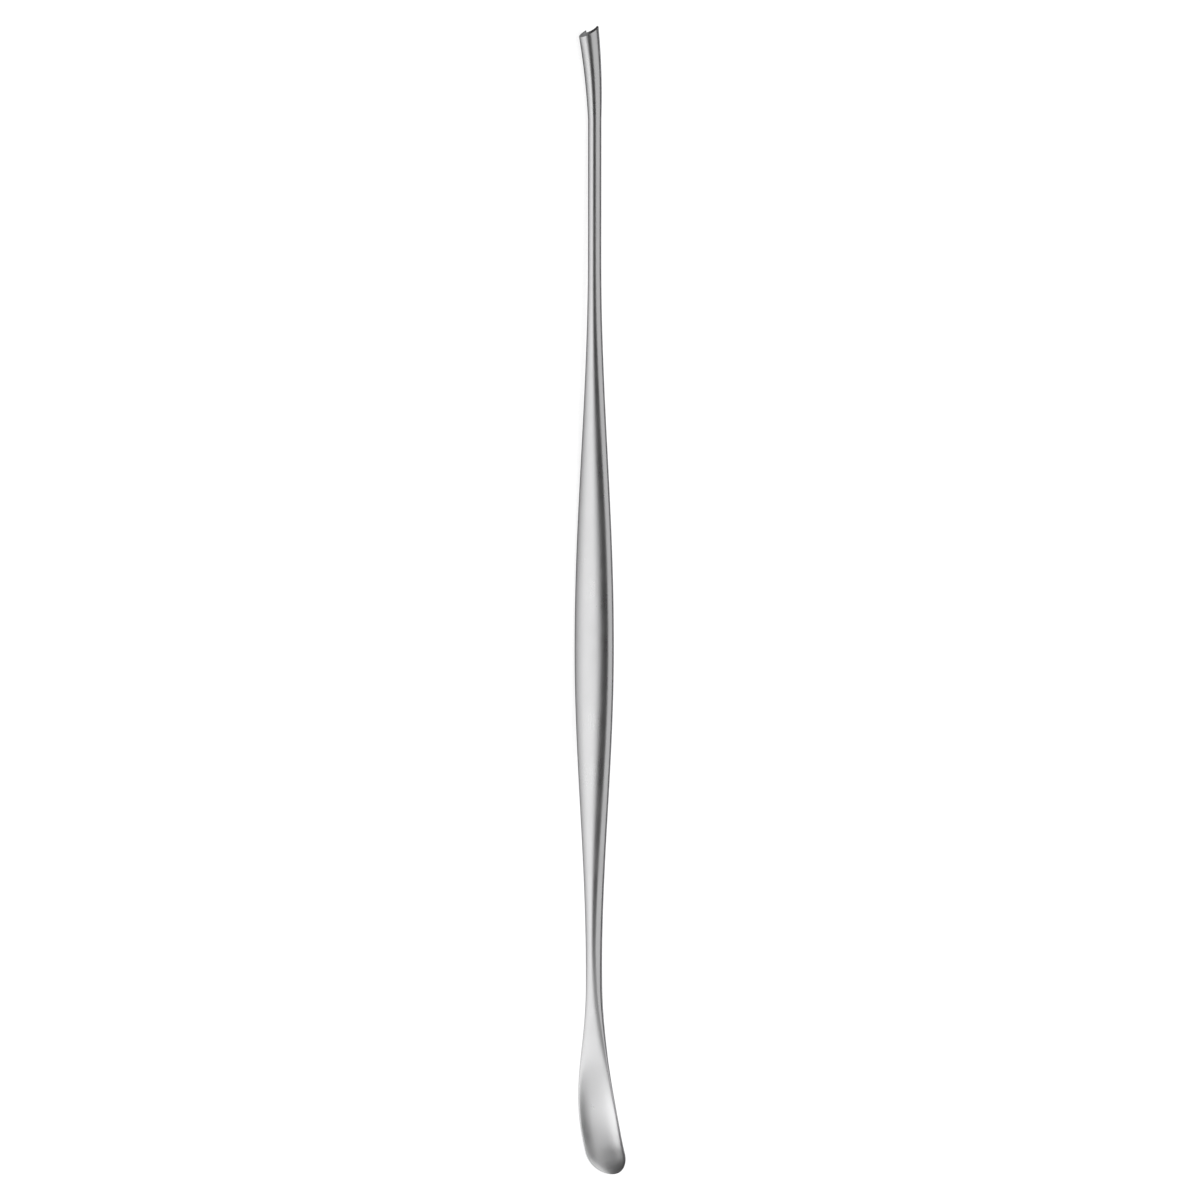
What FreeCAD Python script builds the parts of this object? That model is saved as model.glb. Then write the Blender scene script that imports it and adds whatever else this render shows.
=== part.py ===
import FreeCAD, Part
import math
import os
from FreeCAD import Vector

# Double-ended dissector forged from one bar of stainless steel. A flat handle in the middle tapers
# both ways into round necks. One neck widens into a rounded blade with a hollow face, which curves
# away from that face. The other flares into a small grooved gouge, which curves the opposite way.
#
# The bar is drawn along X, from the blade's tip at zero to the gouge's end. Y runs across the
# flats and Z through the handle's thickness. Then it is laid down as it comes to rest on a table,
# on one edge of its blade, handle and gouge.

# Sizes in millimetres, angles in degrees. A place is a distance from the blade's tip.
LENGTH = 200.0

HANDLE_PLACE = 92.0
HANDLE_WIDTH = 7.2
HANDLE_THICKNESS = 3.1
HANDLE_SQUARENESS = 2.4
TAPER_TO_BLADE = 57.0
TAPER_TO_GOUGE = 68.0

BLADE_NECK_DIAMETER = 2.8
GOUGE_NECK_DIAMETER = 2.33

BLADE_LENGTH = 33.5
BLADE_WIDTH = 7.4
BLADE_WIDEST_PLACE = 7.0
BLADE_TIP_LENGTH = 3.9
BLADE_TIP_EDGE = 0.12
BLADE_TIP_THINNESS = 0.35
BLADE_FRONT_THICKNESS = 0.32
BLADE_BACK_THICKNESS = 0.75
BLADE_SQUARENESS = 3.5
BLADE_BEND_LENGTH = 21.5
BLADE_BEND_RADIUS = 33.5

HOLLOW_LENGTH = 24.0
HOLLOW_RUN_IN = 16.0
HOLLOW_DEPTH = 0.5
HOLLOW_END_LENGTH = 4.0
HOLLOW_FLATNESS = 2.5

GOUGE_LENGTH = 16.0
GOUGE_WIDTH = 3.7
GOUGE_BEND_LENGTH = 17.3
GOUGE_BEND_RADIUS = 49.0
GOUGE_END_BEVEL = 30.0
GOUGE_END_SLANT = 20.0
GROOVE_LENGTH = 13.0
GROOVE_WIDTH = 2.15
GROOVE_FRONT_WALL = 2.0

# Roughly how far the flats lean from upright as it rests
REST_LEAN = 22.0

# How finely the skin is drawn
POINT_COUNT = 16
SIDE_COUNT = 4
TIP_SECTION_COUNT = 6
BLADE_SECTION_COUNT = 9
HANDLE_SECTION_COUNT = 18
GOUGE_SECTION_COUNT = 5
DEGREE = 3
ROUND = 2.0
TRIM = 1.0
SETTLING_COUNT = 12
SETTLING_FINENESS = 0.02


def ease(share):
    """Rises smoothly from 0 to 1 as share goes from 0 to 1."""
    share = min(1.0, max(0.0, share))
    return 0.5 - 0.5 * math.cos(math.pi * share)


def mix(low, high, share):
    return low + (high - low) * share


def handle_share(x):
    """1 at the handle's widest place, 0 at both necks."""
    reach = TAPER_TO_GOUGE if x > HANDLE_PLACE else TAPER_TO_BLADE
    return ease(1.0 - abs(x - HANDLE_PLACE) / reach)


def blade_share(x):
    """0 at the neck, 1 where the blade is widest."""
    return ease((BLADE_LENGTH - x) / (BLADE_LENGTH - BLADE_WIDEST_PLACE))


def gouge_share(x):
    """0 where the flare starts, 1 at the gouge's end."""
    return max(0.0, 1.0 - (LENGTH - x) / GOUGE_LENGTH)


def tip_share(x):
    """The round end of the blade: 1 behind it, 0 at the very tip."""
    return math.sqrt(1.0 - max(0.0, 1.0 - x / BLADE_TIP_LENGTH) ** 2)


def neck_radius(x):
    if x > HANDLE_PLACE:
        return mix(GOUGE_NECK_DIAMETER, GOUGE_WIDTH, gouge_share(x)) / 2
    return BLADE_NECK_DIAMETER / 2


def half_width(x):
    bar = mix(neck_radius(x), HANDLE_WIDTH / 2, handle_share(x))
    blade = mix(bar, BLADE_WIDTH / 2, blade_share(x))
    return mix(BLADE_TIP_EDGE, blade, tip_share(x))


def half_thickness(x, blade_thickness):
    bar = mix(neck_radius(x), HANDLE_THICKNESS / 2, handle_share(x))
    blade = mix(bar, blade_thickness, blade_share(x))
    return blade * mix(BLADE_TIP_THINNESS, 1.0, tip_share(x))


def hollow_depth(x):
    run_in = ease((HOLLOW_LENGTH - x) / HOLLOW_RUN_IN)
    return HOLLOW_DEPTH * run_in * ease(x / HOLLOW_END_LENGTH)


def arc_height(distance, radius):
    """How far an arc has left its straight start after this distance."""
    return radius - math.sqrt(radius**2 - max(0.0, distance) ** 2)


def centre(x):
    """The bar's middle line: the blade curves down and the gouge up, each along an arc."""
    drop = arc_height(BLADE_BEND_LENGTH - x, BLADE_BEND_RADIUS)
    rise = arc_height(x - LENGTH + GOUGE_BEND_LENGTH, GOUGE_BEND_RADIUS)
    return Vector(x, 0, rise - drop)


def section_points(x):
    """Points around the bar at one place: round at the necks, squarer at handle and blade."""
    squareness = mix(ROUND, HANDLE_SQUARENESS, handle_share(x))
    squareness = mix(squareness, BLADE_SQUARENESS, blade_share(x))
    points = []
    for step in range(POINT_COUNT):
        turn = 2 * math.pi * (step + 0.5) / POINT_COUNT
        across = math.copysign(abs(math.cos(turn)) ** (2 / squareness), math.cos(turn))
        through = math.copysign(abs(math.sin(turn)) ** (2 / squareness), math.sin(turn))
        if through > 0:
            z = through * half_thickness(x, BLADE_FRONT_THICKNESS)
            z -= hollow_depth(x) * (1.0 - abs(across) ** HOLLOW_FLATNESS)
        else:
            z = through * half_thickness(x, BLADE_BACK_THICKNESS)
        points.append(Vector(0, half_width(x) * across, z))
    return points


def control_ring(x):
    """A smooth curve runs inside its control points, so they stand out by that much."""
    outward = 3.0 / (2.0 + math.cos(2 * math.pi / POINT_COUNT))
    return [centre(x) + point * outward for point in section_points(x)]


def spread(start, end, count):
    """Places from start up to but not including end."""
    return [mix(start, end, step / count) for step in range(count)]


def regions():
    """Places of the sections from tip to gouge, closest where the tip rounds off."""
    gouge_start = LENGTH - GOUGE_LENGTH
    tip = [BLADE_TIP_LENGTH * 2 * ease(share) for share in spread(0.0, 0.5, TIP_SECTION_COUNT)]
    blade = spread(BLADE_TIP_LENGTH, BLADE_LENGTH, BLADE_SECTION_COUNT)
    handle = spread(BLADE_LENGTH, gouge_start, HANDLE_SECTION_COUNT)
    gouge = spread(gouge_start, LENGTH, GOUGE_SECTION_COUNT) + [LENGTH, LENGTH + TRIM]
    middle = HANDLE_SECTION_COUNT // 2
    return [tip, blade, handle[:middle], handle[middle:], gouge]


def skin_surface(rings):
    along = len(rings)
    poles = [[ring[point] for ring in rings] for point in range(POINT_COUNT)]
    around_knots = list(range(POINT_COUNT + 1))
    along_knots = list(range(along - DEGREE + 1))
    around_counts = [1] * len(around_knots)
    along_counts = [DEGREE + 1] + [1] * (len(along_knots) - 2) + [DEGREE + 1]
    surface = Part.BSplineSurface()
    surface.buildFromPolesMultsKnots(
        poles, around_counts, along_counts, around_knots, along_knots, True, False, DEGREE, DEGREE)
    return surface


def end_cap(faces, x):
    edges = [edge for face in faces for edge in face.Edges
             if max(abs(vertex.X - x) for vertex in edge.Vertexes) < BLADE_TIP_EDGE / 10]
    return Part.Face(Part.Wire(Part.sortEdges(edges)[0]))


def forged_bar():
    """One smooth skin from tip to gouge, in long faces that meet tangent, closed at both ends."""
    places = [place for region in regions() for place in region]
    rings = [control_ring(place) for place in places]
    last_knot = len(rings) - DEGREE
    breaks = [0]
    for region in regions()[:-1]:
        breaks.append(breaks[-1] + len(region))
    breaks.append(last_knot)
    sides = [side * POINT_COUNT // SIDE_COUNT for side in range(SIDE_COUNT + 1)]
    faces = []
    for start, end in zip(breaks, breaks[1:]):
        for low, high in zip(sides, sides[1:]):
            piece = skin_surface(rings)
            piece.segment(low, high, start, end)
            faces.append(piece.toShape())
    caps = [end_cap(faces, places[0]), end_cap(faces, places[-1])]
    shell = Part.makeShell(faces + caps)
    shell.sewShape()
    return Part.Solid(shell)


def groove_cutter():
    """A round rod that sinks into the gouge's back towards its end."""
    start = LENGTH - GROOVE_LENGTH
    radius = GROOVE_WIDTH / 2
    low = centre(start) - Vector(0, 0, neck_radius(start) + radius)
    high = centre(LENGTH) + Vector(0, 0, GOUGE_WIDTH / 2 - GROOVE_FRONT_WALL - radius)
    along = high - low
    return Part.makeCylinder(radius, along.Length + 3 * TRIM, low, along)


def end_cutter():
    """A block past a slanted plane, which trims the gouge's end."""
    side = 4 * GOUGE_WIDTH
    block = Part.makeBox(side, side, side, Vector(0, -side / 2, -side / 2))
    block.rotate(Vector(), Vector(0, 1, 0), -GOUGE_END_BEVEL)
    block.rotate(Vector(), Vector(0, 0, 1), GOUGE_END_SLANT)
    block.translate(centre(LENGTH - TRIM))
    return block


def lowest(points, down):
    return max(points, key=lambda point: point.dot(down))


def resting_turn(shape):
    """The turn that sets one edge of the blade, the handle and the gouge on the table."""
    points = shape.tessellate(SETTLING_FINENESS)[0]
    gouge_start = LENGTH - GOUGE_LENGTH
    blade_points = [point for point in points if point.x < BLADE_LENGTH]
    handle_points = [point for point in points if BLADE_LENGTH < point.x < gouge_start]
    gouge_points = [point for point in points if point.x > gouge_start]
    lean = math.radians(REST_LEAN)
    down = Vector(0, math.cos(lean), -math.sin(lean))
    for _ in range(SETTLING_COUNT):
        blade = lowest(blade_points, down)
        handle = lowest(handle_points, down)
        gouge = lowest(gouge_points, down)
        down = (handle - blade).cross(gouge - blade).normalize()
        if down.y < 0:
            down = down * -1
    return FreeCAD.Rotation(down, Vector(0, 0, -1))


def lay_down(shape):
    turn = resting_turn(shape)
    axis = turn.multVec(Vector(1, 0, 0))
    level = FreeCAD.Rotation(Vector(axis.x, axis.y, 0), Vector(-1, 0, 0))
    shape.Placement = FreeCAD.Placement(Vector(), level.multiply(turn))
    box = FreeCAD.BoundBox()
    for point in shape.tessellate(SETTLING_FINENESS)[0]:
        box.add(point)
    shape.translate(Vector(-box.Center.x, -box.Center.y, -box.ZMin))
    return shape


finished_bar = forged_bar().cut(groove_cutter()).cut(end_cutter())
dissector = lay_down(finished_bar.Solids[0])
os.makedirs("parts", exist_ok=True)
dissector.exportStep("parts/dissector.step")
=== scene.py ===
import math

import bmesh
import bpy
from bpy.props import FloatProperty, FloatVectorProperty, PointerProperty
from mathutils import Matrix, Vector


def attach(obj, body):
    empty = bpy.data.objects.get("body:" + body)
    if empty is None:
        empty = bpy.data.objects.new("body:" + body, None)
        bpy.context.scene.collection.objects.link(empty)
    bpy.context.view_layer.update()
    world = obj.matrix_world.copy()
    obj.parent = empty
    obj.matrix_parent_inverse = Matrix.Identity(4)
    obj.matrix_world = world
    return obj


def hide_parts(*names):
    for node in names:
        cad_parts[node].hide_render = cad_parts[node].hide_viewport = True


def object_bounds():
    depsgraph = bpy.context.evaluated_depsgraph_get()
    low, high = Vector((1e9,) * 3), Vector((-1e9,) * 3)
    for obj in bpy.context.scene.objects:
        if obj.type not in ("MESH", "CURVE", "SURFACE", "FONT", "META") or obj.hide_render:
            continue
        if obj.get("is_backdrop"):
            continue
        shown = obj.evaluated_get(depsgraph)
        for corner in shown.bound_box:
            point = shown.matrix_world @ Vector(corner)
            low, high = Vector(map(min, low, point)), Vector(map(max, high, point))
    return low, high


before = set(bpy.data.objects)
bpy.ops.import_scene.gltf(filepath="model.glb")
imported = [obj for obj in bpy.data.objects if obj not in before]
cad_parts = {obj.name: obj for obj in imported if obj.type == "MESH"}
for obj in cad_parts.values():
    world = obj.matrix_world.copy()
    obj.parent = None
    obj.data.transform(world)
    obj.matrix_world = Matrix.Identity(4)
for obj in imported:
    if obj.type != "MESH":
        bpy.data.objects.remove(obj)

bl_info = {
    "name": "Double-ended dissector",
    "version": (1, 0, 0),
    "blender": (4, 5, 0),
    "location": "View3D > Sidebar > Dissector",
    "description": "Forges a double-ended steel dissector and lays it on a white table",
    "category": "Add Mesh",
}

CAD_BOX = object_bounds()
MM = 0.001

SETTLING_STEPS = 12  # rounds in which the three points that the bar rests on are found
CRISP_EDGE = math.radians(35.0)  # faces that meet at more than this keep a crisp edge
TABLE_HALF_WIDTH = 4.0  # metres
TABLE_GAP = 0.02 * MM  # how far the table lies below the steel, so that they don't flicker
SENSOR_WIDTH = 36.0  # millimetres, as cameras have it

# Light panels, in metres: name, place, aim, width, height, which brightness, share of it
PANELS = (
    ("front_panel", (-0.09, -0.70, 0.065), (-0.09, 0.0, 0.065), 0.72, 0.13, "front", 1.0),
    ("front_fade_panel", (0.52, -0.70, 0.065), (0.52, 0.0, 0.065), 0.50, 0.13, "front", 0.4),
    ("upper_front_panel", (0.0, -0.70, 0.195), (0.0, 0.0, 0.195), 0.90, 0.13, "front", 0.5),
    ("slot_panel", (0.117, -0.0645, 0.0765), (0.117, 0.0, 0.0), 0.10, 0.096, "slot", 1.0),
    ("rim_panel", (0.1015, -0.0135, 0.0005), (0.1015, -0.0135, 0.1), 0.017, 0.018, "rim", 1.0),
    ("blade_end_panel", (0.70, -0.20, 0.25), (0.10, 0.0, 0.0), 0.50, 0.50, "side", 1.0),
    ("gouge_end_panel", (-0.70, -0.20, 0.25), (-0.10, 0.0, 0.0), 0.50, 0.50, "side", 1.0),
    ("back_panel", (0.0, 0.193, 0.673), (0.0, 0.0, 0.0), 1.10, 1.13, "back", 1.0),
)

# Painted shade: dark cards that only the steel sees, standing in for shade in what its ends
# reflect, in metres: name, grey, corners
PAINTED_SHADE_CARDS = (
    ("painted_shade_side", 0.1, ((0.15, -0.06, 0.0), (0.15, 0.10, 0.0), (0.15, 0.10, 0.03),
                        (0.15, -0.06, 0.03))),
    ("painted_shade_tip", 0.18, ((0.113, -0.032, 0.0003), (0.16, -0.032, 0.0003), (0.16, 0.02, 0.0003),
                        (0.103, 0.02, 0.0003), (0.106, -0.003, 0.0003),
                        (0.1105, -0.010, 0.0003))),
    ("painted_shade_end", 0.25, ((-0.1003, -0.03, 0.0003), (-0.1003, 0.03, 0.0003),
                        (-0.16, 0.03, 0.0003), (-0.16, -0.03, 0.0003))),
)


def length(name, description, default_mm):
    return FloatProperty(name=name, description=description, default=default_mm * MM,
                         unit="LENGTH", precision=5, min=0.0)


def shift(name, description, default_mm):
    return FloatProperty(name=name, description=description, default=default_mm * MM,
                         unit="LENGTH", precision=5)


def angle(name, description, default_degrees):
    return FloatProperty(name=name, description=description,
                         default=math.radians(default_degrees), unit="ROTATION")


def share(name, description, default):
    return FloatProperty(name=name, description=description, default=default,
                         min=0.0, max=1.0, subtype="FACTOR", precision=3)


def plain(name, description, default):
    return FloatProperty(name=name, description=description, default=default, min=0.0)


def colour(name, description, default):
    return FloatVectorProperty(name=name, description=description, default=default,
                               subtype="COLOR", size=3, min=0.0, max=1.0)


class DissectorSizes(bpy.types.PropertyGroup):
    """Sizes of the forged bar. A place is a distance from the blade's tip."""
    overall: length("Length", "From the blade's tip to the gouge's end", 200.0)
    handle_place: length("Handle's widest place", "Where the handle is widest", 92.0)
    handle_width: length("Handle width", "Across the handle's flats", 7.2)
    handle_thickness: length("Handle thickness", "From flat to flat", 3.1)
    handle_squareness: plain("Handle squareness", "2 is an oval, more is squarer", 2.4)
    taper_to_blade: length("Taper to the blade", "From the widest place to the neck", 57.0)
    taper_to_gouge: length("Taper to the gouge", "From the widest place to the neck", 68.0)
    blade_neck: length("Blade neck", "Diameter of the neck behind the blade", 2.8)
    gouge_neck: length("Gouge neck", "Diameter of the neck behind the gouge", 2.33)
    blade_length: length("Blade length", "From the tip to where the blade starts", 33.5)
    blade_width: length("Blade width", "Where the blade is widest", 7.3)
    blade_widest: length("Blade's widest place", "Where the blade is widest", 7.0)
    tip_length: length("Tip length", "How far the tip's rounding reaches", 3.9)
    tip_edge: length("Tip edge", "Half width of the very tip", 0.12)
    tip_thinness: share("Tip thinness", "Thickness left at the very tip", 0.35)
    front_thickness: length("Front thickness", "From the blade's middle to its face", 0.32)
    back_thickness: length("Back thickness", "From the blade's middle to its back", 0.75)
    face_start: length("Face start", "Where the blade's face starts to flatten", 42.0)
    face_place: length("Face place", "Where the blade's face is as thin as it gets", 15.0)
    blade_squareness: plain("Blade squareness", "2 is an oval, more is squarer", 3.5)
    blade_bend_length: length("Blade bend length", "How much of the blade's end curves", 21.5)
    blade_bend_radius: length("Blade bend radius", "Radius of that curve", 33.5)
    hollow_length: length("Hollow length", "How far the hollow reaches from the tip", 24.0)
    hollow_run_in: length("Hollow run-in", "Over how much of it the hollow deepens", 16.0)
    hollow_depth: length("Hollow depth", "Depth of the hollow across the face", 0.5)
    hollow_end: length("Hollow end", "Over how much of the tip it runs out", 4.0)
    hollow_flatness: plain("Hollow flatness", "2 is a round hollow, more is flatter", 2.5)
    gouge_length: length("Gouge length", "How much of the end flares", 16.0)
    gouge_width: length("Gouge width", "Diameter at the gouge's end", 3.7)
    gouge_bend_length: length("Gouge bend length", "How much of the end curves", 17.3)
    gouge_bend_radius: length("Gouge bend radius", "Radius of that curve", 49.0)
    end_bevel: angle("End bevel", "How far the cut end faces the front", 30.0)
    end_slant: angle("End slant", "How far the cut end faces one side", 20.0)
    end_trim: length("End trim", "How much the slanted cut takes off", 1.015)
    groove_length: length("Groove length", "How far the groove reaches", 13.0)
    groove_width: length("Groove width", "Width of the round groove", 2.15)
    groove_wall: length("Groove wall", "Metal left in front of the groove", 2.0)
    rest_lean: angle("Rest lean", "Roughly how its flats lean as it lies at rest", 22.0)


class DissectorSteel(bpy.types.PropertyGroup):
    """Colour and finish of the steel."""
    steel: colour("Steel", "Colour of the satin steel", (0.72, 0.72, 0.725))
    worn: colour("Worn edge", "Colour where edges are rubbed bright", (0.80, 0.80, 0.80))
    edge_tint: colour("Edge tint", "Colour seen at a glancing angle", (0.25, 0.25, 0.26))
    roughness: share("Roughness", "Roughness of the satin steel", 0.27)
    grain_roughness: share("Grain roughness", "How much the grain changes it", 0.07)
    mark_roughness: share("Mark roughness", "How much handling marks change it", 0.06)
    grain_depth: length("Grain depth", "Depth of the fine polishing lines", 0.004)
    wear: share("Wear", "How strongly edges are worn", 0.6)


class DissectorStage(bpy.types.PropertyGroup):
    """Camera, table and lights."""
    camera_distance: length("Camera distance", "From the instrument", 1300.0)
    camera_height: angle("Camera elevation", "Above the table", 46.9)
    camera_roll: angle("Camera roll", "Turns the picture until the bar stands upright", 0.98)
    picture_width: length("Picture width", "What the picture takes in", 208.9)
    aim_right: shift("Aim right", "How far the picture's middle is to the right", -0.87)
    aim_up: shift("Aim up", "How far the picture's middle is towards the gouge", 0.23)
    floor_colour: colour("Table colour", "Colour of the table", (0.80, 0.80, 0.80))
    floor_glow: plain("Table white", "What lifts the table to white for the camera", 0.80)
    # Painted shade: how far and how strongly the table's glow, as the steel sees it, is darkened
    # near the steel
    painted_shade_reach: length("Contact reach", "How far the shade under the steel reaches", 15.0)
    painted_shade_darkness: plain("Painted contact shade", "How dark the shade under the steel is", 3.2)
    room: plain("Room light", "Even light from all round", 0.05)
    front: plain("Front light", "Brightness of the low panel in front", 1.2)
    slot: plain("Slot light", "Brightness of the panel over the blade", 0.36)
    rim: plain("Rim light", "Brightness of the strip beside the blade", 0.45)
    side: plain("Side light", "Brightness of the panels past the ends", 0.35)
    back: plain("Back light", "Brightness of the panel over the back", 0.6)


def ease(part):
    """Rises smoothly from 0 to 1 as part goes from 0 to 1."""
    part = min(1.0, max(0.0, part))
    return 0.5 - 0.5 * math.cos(math.pi * part)


def mix(low, high, part):
    return low + (high - low) * part


class Bar:
    """Works out the skin of the forged bar from its sizes."""

    STEPS = 96  # points in a ring round the bar
    CORNERS = 16  # corners that a section's curve is drawn round
    GROOVE_STEPS = 16  # of a ring's steps, how many lie between the groove's middle and its rim
    TIP_STEPS = 28  # rings over the blade's tip
    HALVINGS = 40  # how often the guess for the groove's rim is halved
    ROUND = 2.0  # squareness of a round or oval section
    NARROWEST = math.radians(2.0)  # least angle that the groove's steps spread over
    SLIDE = 6.0 * MM  # how far before the groove they start to gather
    BLADE_SPACING = 0.4 * MM  # between rings, as are the next three
    HANDLE_SPACING = 0.8 * MM
    FLARE_SPACING = 0.25 * MM
    GROOVE_SPACING = 0.2 * MM

    def __init__(self, sizes):
        self.s = sizes

    def handle_share(self, x):
        s = self.s
        reach = s.taper_to_gouge if x > s.handle_place else s.taper_to_blade
        return ease(1.0 - abs(x - s.handle_place) / reach)

    def blade_share(self, x):
        s = self.s
        return ease((s.blade_length - x) / (s.blade_length - s.blade_widest))

    def gouge_share(self, x):
        return max(0.0, 1.0 - (self.s.overall - x) / self.s.gouge_length)

    def tip_share(self, x):
        return math.sqrt(1.0 - max(0.0, 1.0 - x / self.s.tip_length) ** 2)

    def neck_radius(self, x):
        s = self.s
        if x > s.handle_place:
            return mix(s.gouge_neck, s.gouge_width, self.gouge_share(x)) / 2
        return s.blade_neck / 2

    def half_width(self, x):
        s = self.s
        bar = mix(self.neck_radius(x), s.handle_width / 2, self.handle_share(x))
        blade = mix(bar, s.blade_width / 2, self.blade_share(x))
        return mix(s.tip_edge, blade, self.tip_share(x))

    def half_thickness(self, x, blade_thickness, part):
        bar = mix(self.neck_radius(x), self.s.handle_thickness / 2, self.handle_share(x))
        blade = mix(bar, blade_thickness, part)
        return blade * mix(self.s.tip_thinness, 1.0, self.tip_share(x))

    def front_share(self, x):
        s = self.s
        return ease((s.face_start - x) / (s.face_start - s.face_place))

    def hollow_depth(self, x):
        s = self.s
        run_in = ease((s.hollow_length - x) / s.hollow_run_in)
        return s.hollow_depth * run_in * ease(x / s.hollow_end)

    def centre(self, x):
        s = self.s
        drop = arc_height(s.blade_bend_length - x, s.blade_bend_radius)
        rise = arc_height(x - s.overall + s.gouge_bend_length, s.gouge_bend_radius)
        return Vector((x, 0.0, rise - drop))

    def squareness(self, x):
        squareness = mix(self.ROUND, self.s.handle_squareness, self.handle_share(x))
        return mix(squareness, self.s.blade_squareness, self.front_share(x))

    def corner(self, x, number):
        """One of the few points that the section is drawn round, from the bar's middle line."""
        s = self.s
        turn = 2 * math.pi * (number + 0.5) / self.CORNERS
        power = 2 / self.squareness(x)
        across = math.copysign(abs(math.cos(turn)) ** power, math.cos(turn))
        through = math.copysign(abs(math.sin(turn)) ** power, math.sin(turn))
        if through > 0:
            z = through * self.half_thickness(x, s.front_thickness, self.front_share(x))
            z -= self.hollow_depth(x) * (1.0 - abs(across) ** s.hollow_flatness)
        else:
            z = through * self.half_thickness(x, s.back_thickness, self.blade_share(x))
        # The curve runs inside its corners, so they stand further out by this much
        outward = 3.0 / (2.0 + math.cos(2 * math.pi / self.CORNERS))
        return Vector((0.0, self.half_width(x) * across, z)) * outward

    def section(self, x):
        """A function that gives the skin's point at a turn, on one smooth curve round x."""
        corners = [self.corner(x, number) for number in range(self.CORNERS)]

        def point(turn):
            along = (turn / (2 * math.pi)) % 1.0 * self.CORNERS - 0.5
            first = math.floor(along)
            t = along - first
            weights = ((1 - t) ** 3, 3 * t**3 - 6 * t**2 + 4,
                       -3 * t**3 + 3 * t**2 + 3 * t + 1, t**3)
            total = Vector()
            for offset, weight in zip((-1, 0, 1, 2), weights):
                total += corners[(first + offset) % self.CORNERS] * (weight / 6)
            return total

        return point

    def groove(self, x):
        """Where the groove's round section lies at x: its middle, half width and half height."""
        s = self.s
        radius = s.groove_width / 2
        start = s.overall - s.groove_length
        low = self.centre(start).z - self.neck_radius(start) - radius
        high = self.centre(s.overall).z + s.gouge_width / 2 - s.groove_wall - radius
        slope = (high - low) / s.groove_length
        middle = low + slope * (x - start) - self.centre(x).z
        return middle, radius, radius * math.sqrt(1 + slope * slope)

    def groove_turn(self, x):
        """Half the angle, from straight down, over which the groove opens at x."""
        if x <= self.s.overall - self.s.groove_length:
            return 0.0
        middle, wide, high = self.groove(x)
        radius = self.neck_radius(x)
        low, top = 0.0, math.pi / 2
        for _ in range(self.HALVINGS):
            turn = (low + top) / 2
            across = radius * math.sin(turn) / wide
            down = (-radius * math.cos(turn) - middle) / high
            if across * across + down * down < 1.0:
                low = turn
            else:
                top = turn
        return low

    def ring(self, x):
        """Points round the bar. The groove's rims always fall on the same two of them."""
        opening = self.groove_turn(x)
        even = 2 * math.pi * self.GROOVE_STEPS / self.STEPS
        near = ease((self.s.overall - self.s.groove_length - x) / self.SLIDE)
        span = max(opening, mix(self.NARROWEST, even, near))
        section = self.section(x)
        points = []
        for step in range(self.STEPS):
            away = step if step <= self.STEPS // 2 else step - self.STEPS
            side = 1 if away >= 0 else -1
            count = abs(away)
            if count <= self.GROOVE_STEPS:
                turn = span * count / self.GROOVE_STEPS
            else:
                left = (count - self.GROOVE_STEPS) / (self.STEPS // 2 - self.GROOVE_STEPS)
                turn = mix(span, math.pi, left)
            if turn < opening:
                points.append(self.groove_point(x, opening, side * turn / opening))
            else:
                points.append(section(-math.pi / 2 + side * turn))
        return points

    def groove_point(self, x, opening, part):
        middle, wide, high = self.groove(x)
        radius = self.neck_radius(x)
        rim = math.atan2(radius * math.sin(opening) / wide,
                         (-radius * math.cos(opening) - middle) / high)
        return Vector((0.0, wide * math.sin(rim * part), middle + high * math.cos(rim * part)))

    def places(self):
        """Where the rings stand, closest together where the shape changes fastest."""
        s = self.s
        flare_start = s.overall - s.gouge_length
        groove_start = s.overall - s.groove_length
        end = s.overall + s.end_trim
        tip = [s.tip_length * 2 * ease(step / (2 * self.TIP_STEPS))
               for step in range(self.TIP_STEPS)]
        blade = spread(s.tip_length, s.blade_length, self.BLADE_SPACING)
        handle = spread(s.blade_length, flare_start, self.HANDLE_SPACING)
        flare = spread(flare_start, groove_start, self.FLARE_SPACING)
        groove = spread(groove_start, end, self.GROOVE_SPACING)
        return tip + blade + handle + flare + groove + [end]


def arc_height(distance, radius):
    return radius - math.sqrt(radius**2 - max(0.0, distance) ** 2)


def spread(start, end, step):
    count = max(1, round((end - start) / step))
    return [mix(start, end, part / count) for part in range(count)]


def resting_matrix(bar):
    """The turn that lays the bar on one edge of its blade, handle and gouge."""
    s = bar.s
    groups = [[], [], []]
    for place in bar.places():
        if place > s.overall - s.end_trim:
            continue
        if place <= s.blade_length:
            part = 0
        elif place <= s.overall - s.gouge_length:
            part = 1
        else:
            part = 2
        groups[part] += [bar.centre(place) + point for point in bar.ring(place)]
    down = Vector((0.0, math.cos(s.rest_lean), -math.sin(s.rest_lean)))
    for _ in range(SETTLING_STEPS):
        blade, handle, gouge = [max(group, key=lambda p: p.dot(down)) for group in groups]
        down = (handle - blade).cross(gouge - blade).normalized()
        if down.y < 0:
            down = -down
    turn = down.rotation_difference(Vector((0.0, 0.0, -1.0))).to_matrix()
    axis = turn @ Vector((1.0, 0.0, 0.0))
    level = Matrix.Rotation(math.pi - math.atan2(axis.y, axis.x), 3, "Z")
    return (level @ turn).to_4x4()


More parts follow.
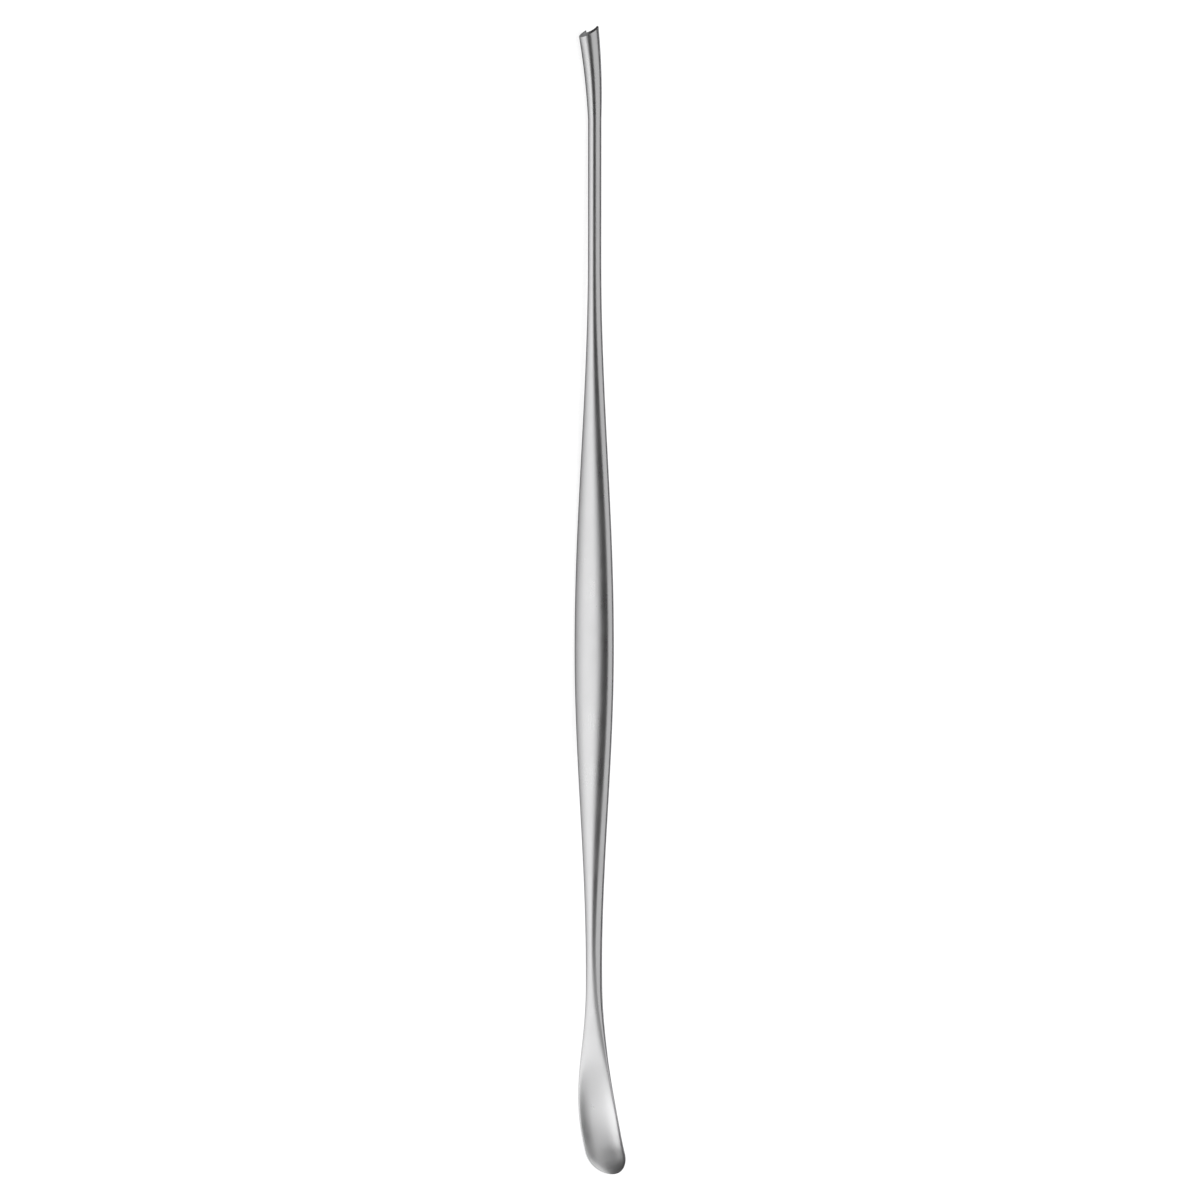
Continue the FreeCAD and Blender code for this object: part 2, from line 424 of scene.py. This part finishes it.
def bar_mesh(bar):
    """The bar's skin, with its gouge's end cut at a slant."""
    s = bar.s
    places = bar.places()
    points = []
    faces = []
    for place in places:
        points += [bar.centre(place) + point for point in bar.ring(place)]
    steps = bar.STEPS
    for start in range(0, steps * (len(places) - 1), steps):
        for step in range(steps):
            after = start + (step + 1) % steps
            faces.append((start + step, start + step + steps, after + steps, after))
    faces.append(tuple(range(steps)))
    last = steps * (len(places) - 1)
    faces.append(tuple(last + step for step in reversed(range(steps))))
    mesh = bpy.data.meshes.new("dissector_bar")
    mesh.from_pydata(points, [], faces)
    work = bmesh.new()
    work.from_mesh(mesh)
    lean = Matrix.Rotation(s.end_slant, 3, "Z") @ Matrix.Rotation(-s.end_bevel, 3, "Y")
    cut = bmesh.ops.bisect_plane(
        work, geom=work.verts[:] + work.edges[:] + work.faces[:],
        plane_co=bar.centre(s.overall - s.end_trim),
        plane_no=lean @ Vector((1.0, 0.0, 0.0)), clear_outer=True)
    rim = [item for item in cut["geom_cut"] if isinstance(item, bmesh.types.BMEdge)]
    bmesh.ops.contextual_create(work, geom=rim)
    bmesh.ops.recalc_face_normals(work, faces=work.faces[:])
    work.to_mesh(mesh)
    work.free()
    return mesh


def lay_down(mesh, bar):
    """Turns the mesh as it rests and sets it in the CAD part's box."""
    mesh.transform(resting_matrix(bar))
    low = Vector(map(min, *(vertex.co for vertex in mesh.vertices)))
    high = Vector(map(max, *(vertex.co for vertex in mesh.vertices)))
    cad_low, cad_high = CAD_BOX
    middle = (cad_low + cad_high) / 2 - (low + high) / 2
    mesh.transform(Matrix.Translation((middle.x, middle.y, cad_low.z - low.z)))


def add_node(tree, kind, name, **values):
    node = tree.nodes.new(kind)
    node.name = node.label = name
    for key, value in values.items():
        setattr(node, key, value)
    return node


def group_of(name, inputs, outputs):
    """A new shader node group with named sockets: (name, kind, default) in, (name, kind) out."""
    tree = bpy.data.node_groups.new(name, "ShaderNodeTree")
    for label, kind, default in inputs:
        socket = tree.interface.new_socket(label, in_out="INPUT", socket_type=kind)
        socket.default_value = default
    for label, kind in outputs:
        tree.interface.new_socket(label, in_out="OUTPUT", socket_type=kind)
    source = add_node(tree, "NodeGroupInput", "Values in")
    result = add_node(tree, "NodeGroupOutput", "Values out")
    return tree, source, result


def polish_grain_group():
    """Fine lines left by polishing along the bar."""
    tree, source, result = group_of(
        "polish_grain",
        [("Along", "NodeSocketFloat", 60.0), ("Across", "NodeSocketFloat", 2500.0)],
        [("Grain", "NodeSocketFloat")])
    where = add_node(tree, "ShaderNodeTexCoord", "Place")
    scale = add_node(tree, "ShaderNodeCombineXYZ", "Stretch")
    stretch = add_node(tree, "ShaderNodeVectorMath", "Stretched place", operation="MULTIPLY")
    noise = add_node(tree, "ShaderNodeTexNoise", "Lines")
    noise.inputs["Scale"].default_value = 1.0
    noise.inputs["Detail"].default_value = 3.0
    noise.inputs["Roughness"].default_value = 0.6
    link = tree.links.new
    link(source.outputs["Along"], scale.inputs["X"])
    link(source.outputs["Across"], scale.inputs["Y"])
    link(source.outputs["Across"], scale.inputs["Z"])
    link(where.outputs["Object"], stretch.inputs[0])
    link(scale.outputs["Vector"], stretch.inputs[1])
    link(stretch.outputs["Vector"], noise.inputs["Vector"])
    link(noise.outputs["Fac"], result.inputs["Grain"])
    return tree


def handling_marks_group():
    """Faint cloudy marks from handling and washing."""
    tree, source, result = group_of(
        "handling_marks", [("Scale", "NodeSocketFloat", 180.0)], [("Marks", "NodeSocketFloat")])
    where = add_node(tree, "ShaderNodeTexCoord", "Place")
    noise = add_node(tree, "ShaderNodeTexNoise", "Clouds")
    noise.inputs["Detail"].default_value = 4.0
    spreads = add_node(tree, "ShaderNodeMapRange", "Contrast")
    spreads.inputs["From Min"].default_value = 0.35
    spreads.inputs["From Max"].default_value = 0.70
    link = tree.links.new
    link(where.outputs["Object"], noise.inputs["Vector"])
    link(source.outputs["Scale"], noise.inputs["Scale"])
    link(noise.outputs["Fac"], spreads.inputs["Value"])
    link(spreads.outputs["Result"], result.inputs["Marks"])
    return tree


def edge_wear_group():
    """A mask that is 1 on edges that fingers and trays have rubbed bright."""
    tree, source, result = group_of(
        "edge_wear", [("Amount", "NodeSocketFloat", 0.6)], [("Wear", "NodeSocketFloat")])
    edge = add_node(tree, "ShaderNodeNewGeometry", "Corner")
    sharp = add_node(tree, "ShaderNodeMapRange", "Edges")
    sharp.inputs["From Min"].default_value = 0.51
    sharp.inputs["From Max"].default_value = 0.60
    where = add_node(tree, "ShaderNodeTexCoord", "Place")
    noise = add_node(tree, "ShaderNodeTexNoise", "Patches")
    noise.inputs["Scale"].default_value = 700.0
    patch = add_node(tree, "ShaderNodeMath", "Worn patches", operation="MULTIPLY")
    much = add_node(tree, "ShaderNodeMath", "Wear", operation="MULTIPLY", use_clamp=True)
    link = tree.links.new
    link(edge.outputs["Pointiness"], sharp.inputs["Value"])
    link(where.outputs["Object"], noise.inputs["Vector"])
    link(sharp.outputs["Result"], patch.inputs[0])
    link(noise.outputs["Fac"], patch.inputs[1])
    link(patch.outputs["Value"], much.inputs[0])
    link(source.outputs["Amount"], much.inputs[1])
    link(much.outputs["Value"], result.inputs["Wear"])
    return tree


def steel_material(look):
    material = bpy.data.materials.new("satin_steel")
    material.use_nodes = True
    tree = material.node_tree
    shader = tree.nodes["Principled BSDF"]
    shader.inputs["Metallic"].default_value = 1.0
    shader.inputs["Specular Tint"].default_value = (*look.edge_tint, 1.0)

    grain = add_node(tree, "ShaderNodeGroup", "Polish grain", node_tree=polish_grain_group())
    marks = add_node(tree, "ShaderNodeGroup", "Marks", node_tree=handling_marks_group())
    wear = add_node(tree, "ShaderNodeGroup", "Edge wear", node_tree=edge_wear_group())
    wear.inputs["Amount"].default_value = look.wear

    tone = add_node(tree, "ShaderNodeMix", "Steel colour", data_type="RGBA")
    tone.inputs["A"].default_value = (*look.steel, 1.0)
    tone.inputs["B"].default_value = (*look.worn, 1.0)
    dull = add_node(tree, "ShaderNodeMapRange", "Roughness from marks")
    dull.inputs["To Min"].default_value = look.roughness - look.mark_roughness / 2
    dull.inputs["To Max"].default_value = look.roughness + look.mark_roughness / 2
    lines = add_node(tree, "ShaderNodeMath", "Roughness from grain", operation="MULTIPLY_ADD")
    lines.inputs[1].default_value = look.grain_roughness
    bump = add_node(tree, "ShaderNodeBump", "Grain relief")
    bump.inputs["Strength"].default_value = 0.5
    bump.inputs["Distance"].default_value = look.grain_depth

    link = tree.links.new
    link(wear.outputs["Wear"], tone.inputs["Factor"])
    link(tone.outputs["Result"], shader.inputs["Base Color"])
    link(marks.outputs["Marks"], dull.inputs["Value"])
    link(grain.outputs["Grain"], lines.inputs[0])
    link(dull.outputs["Result"], lines.inputs[2])
    link(lines.outputs["Value"], shader.inputs["Roughness"])
    link(grain.outputs["Grain"], bump.inputs["Height"])
    link(bump.outputs["Normal"], shader.inputs["Normal"])
    return material


class DISSECTOR_OT_forge(bpy.types.Operator):
    """Forges the bar, grooves its gouge, lays it down and finishes its steel"""
    bl_idname = "dissector.forge"
    bl_label = "Forge the dissector"

    def execute(self, context):
        bar = Bar(context.scene.dissector_sizes)
        mesh = bar_mesh(bar)
        lay_down(mesh, bar)
        mesh.shade_smooth()
        mesh.set_sharp_from_angle(angle=CRISP_EDGE)
        mesh.materials.append(steel_material(context.scene.dissector_steel))
        piece = bpy.data.objects.new("dissector_bar", mesh)
        context.scene.collection.objects.link(piece)
        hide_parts("dissector")
        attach(piece, "root")
        return {"FINISHED"}


def floor_material(look):
    """A pale matt table that the camera and the steel both see as white, but with painted shade:
    near the steel, the glow that the steel sees is darkened.
    """
    material = bpy.data.materials.new("white_table")
    material.use_nodes = True
    tree = material.node_tree
    shader = tree.nodes["Principled BSDF"]
    shader.inputs["Base Color"].default_value = (*look.floor_colour, 1.0)
    shader.inputs["Roughness"].default_value = 0.9
    shader.inputs["Specular IOR Level"].default_value = 0.1
    shader.inputs["Emission Color"].default_value = (1.0, 1.0, 1.0, 1.0)
    path = add_node(tree, "ShaderNodeLightPath", "Kind of ray")
    # Painted shade: ambient occlusion darkens the glow that only the steel sees near itself, a
    # painted contact shadow in its reflections
    open_sky = add_node(tree, "ShaderNodeAmbientOcclusion", "How open the table is")
    open_sky.inputs["Distance"].default_value = look.painted_shade_reach
    painted_gloss_shade = add_node(tree, "ShaderNodeMath", "Painted contact shade", operation="POWER")
    painted_gloss_shade.inputs[1].default_value = look.painted_shade_darkness
    gloss = add_node(tree, "ShaderNodeMath", "Seen in gloss", operation="MULTIPLY")
    either = add_node(tree, "ShaderNodeMath", "Camera or gloss", operation="MAXIMUM")
    seen = add_node(tree, "ShaderNodeMath", "Or glass", operation="MAXIMUM")
    glow = add_node(tree, "ShaderNodeMath", "White", operation="MULTIPLY")
    glow.inputs[1].default_value = look.floor_glow
    link = tree.links.new
    link(open_sky.outputs["AO"], painted_gloss_shade.inputs[0])
    link(path.outputs["Is Glossy Ray"], gloss.inputs[0])
    link(painted_gloss_shade.outputs["Value"], gloss.inputs[1])
    link(path.outputs["Is Camera Ray"], either.inputs[0])
    link(gloss.outputs["Value"], either.inputs[1])
    link(either.outputs["Value"], seen.inputs[0])
    link(path.outputs["Is Transmission Ray"], seen.inputs[1])
    link(seen.outputs["Value"], glow.inputs[0])
    link(glow.outputs["Value"], shader.inputs["Emission Strength"])
    return material


def soft_panel(name, place, aim, width, height, brightness):
    """A soft light panel. Brightness is how white it looks in a mirror."""
    lamp = bpy.data.lights.new(name, "AREA")
    lamp.shape = "RECTANGLE"
    lamp.size = width
    lamp.size_y = height
    lamp.energy = brightness * width * height * math.pi
    panel = bpy.data.objects.new(name, lamp)
    panel.matrix_world = facing(Vector(place), Vector(aim))
    panel.visible_camera = False
    bpy.context.scene.collection.objects.link(panel)


def painted_shade_card(name, grey, corners):
    """A dark card of painted shade that only the steel sees, to darken what its ends reflect."""
    mesh = bpy.data.meshes.new(name)
    mesh.from_pydata(corners, [], [tuple(range(len(corners)))])
    material = bpy.data.materials.new(name)
    material.use_nodes = True
    shader = material.node_tree.nodes["Principled BSDF"]
    shader.inputs["Base Color"].default_value = (grey, grey, grey, 1.0)
    mesh.materials.append(material)
    card = bpy.data.objects.new(name, mesh)
    card.visible_camera = False
    card.visible_shadow = False
    card.visible_diffuse = False
    bpy.context.scene.collection.objects.link(card)
    card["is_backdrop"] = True


def facing(place, aim):
    """Stands at place with its back to +Z and its long side level, looking at aim."""
    back = (place - aim).normalized()
    side = Vector((1.0, 0.0, 0.0))
    up = back.cross(side).normalized()
    side = up.cross(back)
    turn = Matrix((side, up, back)).transposed().to_4x4()
    return Matrix.Translation(place) @ turn


class DISSECTOR_OT_stage(bpy.types.Operator):
    """Sets the camera, the white table and the lights"""
    bl_idname = "dissector.stage"
    bl_label = "Set the stage"

    def execute(self, context):
        look = context.scene.dissector_stage
        self.set_camera(context, look)
        self.set_floor(context, look)
        self.set_lights(context, look)
        context.scene.view_settings.view_transform = "Standard"
        return {"FINISHED"}

    def set_camera(self, context, look):
        """Looks down across the instrument, with the gouge at the top of the picture."""
        low, high = CAD_BOX
        middle = (low + high) / 2
        rise = look.camera_height
        back = Vector((0.0, -math.cos(rise), math.sin(rise)))
        up = Vector((-1.0, 0.0, 0.0))
        right = up.cross(back)
        aim = middle + right * look.aim_right + up * look.aim_up
        roll = Matrix.Rotation(look.camera_roll, 4, "Z")
        turn = Matrix((right, up, back)).transposed().to_4x4() @ roll
        lens = bpy.data.cameras.new("camera")
        lens.sensor_width = SENSOR_WIDTH
        lens.lens = lens.sensor_width * look.camera_distance / look.picture_width
        camera = bpy.data.objects.new("camera", lens)
        camera.matrix_world = Matrix.Translation(aim + back * look.camera_distance) @ turn
        context.scene.collection.objects.link(camera)
        context.scene.camera = camera

    def set_floor(self, context, look):
        mesh = bpy.data.meshes.new("table")
        half = TABLE_HALF_WIDTH
        signs = [(-1, -1), (1, -1), (1, 1), (-1, 1)]
        mesh.from_pydata([(x * half, y * half, 0.0) for x, y in signs], [], [(0, 1, 2, 3)])
        mesh.materials.append(floor_material(look))
        floor = bpy.data.objects.new("table", mesh)
        floor.location.z = CAD_BOX[0].z - TABLE_GAP
        context.scene.collection.objects.link(floor)
        floor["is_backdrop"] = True

    def set_lights(self, context, look):
        world = bpy.data.worlds.new("room")
        context.scene.world = world
        world.use_nodes = True
        sky = world.node_tree.nodes["Background"]
        sky.inputs["Color"].default_value = (1.0, 1.0, 1.0, 1.0)
        sky.inputs["Strength"].default_value = look.room
        for name, place, aim, width, height, light, part in PANELS:
            soft_panel(name, place, aim, width, height, getattr(look, light) * part)
        # Painted shade: dark cards that show only in the steel's reflections
        for name, grey, corners in PAINTED_SHADE_CARDS:
            painted_shade_card(name, grey, corners)


class DISSECTOR_PT_panel(bpy.types.Panel):
    """Sizes, finish and stage of the dissector"""
    bl_label = "Dissector"
    bl_idname = "DISSECTOR_PT_panel"
    bl_space_type = "VIEW_3D"
    bl_region_type = "UI"
    bl_category = "Dissector"

    def draw(self, context):
        for operator, owner in (
            (DISSECTOR_OT_forge, context.scene.dissector_sizes),
            (None, context.scene.dissector_steel),
            (DISSECTOR_OT_stage, context.scene.dissector_stage),
        ):
            column = self.layout.column()
            for name in owner.bl_rna.properties.keys():
                if name not in ("rna_type", "name"):
                    column.prop(owner, name)
            if operator:
                column.operator(operator.bl_idname)


CLASSES = (DissectorSizes, DissectorSteel, DissectorStage,
           DISSECTOR_OT_forge, DISSECTOR_OT_stage, DISSECTOR_PT_panel)


def register():
    for item in CLASSES:
        bpy.utils.register_class(item)
    bpy.types.Scene.dissector_sizes = PointerProperty(type=DissectorSizes)
    bpy.types.Scene.dissector_steel = PointerProperty(type=DissectorSteel)
    bpy.types.Scene.dissector_stage = PointerProperty(type=DissectorStage)


def unregister():
    del bpy.types.Scene.dissector_stage
    del bpy.types.Scene.dissector_steel
    del bpy.types.Scene.dissector_sizes
    for item in reversed(CLASSES):
        bpy.utils.unregister_class(item)


def write_sizes():
    boxes = {"cad": CAD_BOX, "visual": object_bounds()}
    sizes = {name: [list(corner) for corner in box] for name, box in boxes.items()}


def main():
    register()
    bpy.ops.dissector.forge()
    bpy.ops.dissector.stage()
    write_sizes()


if __name__ == "__main__":
    main()
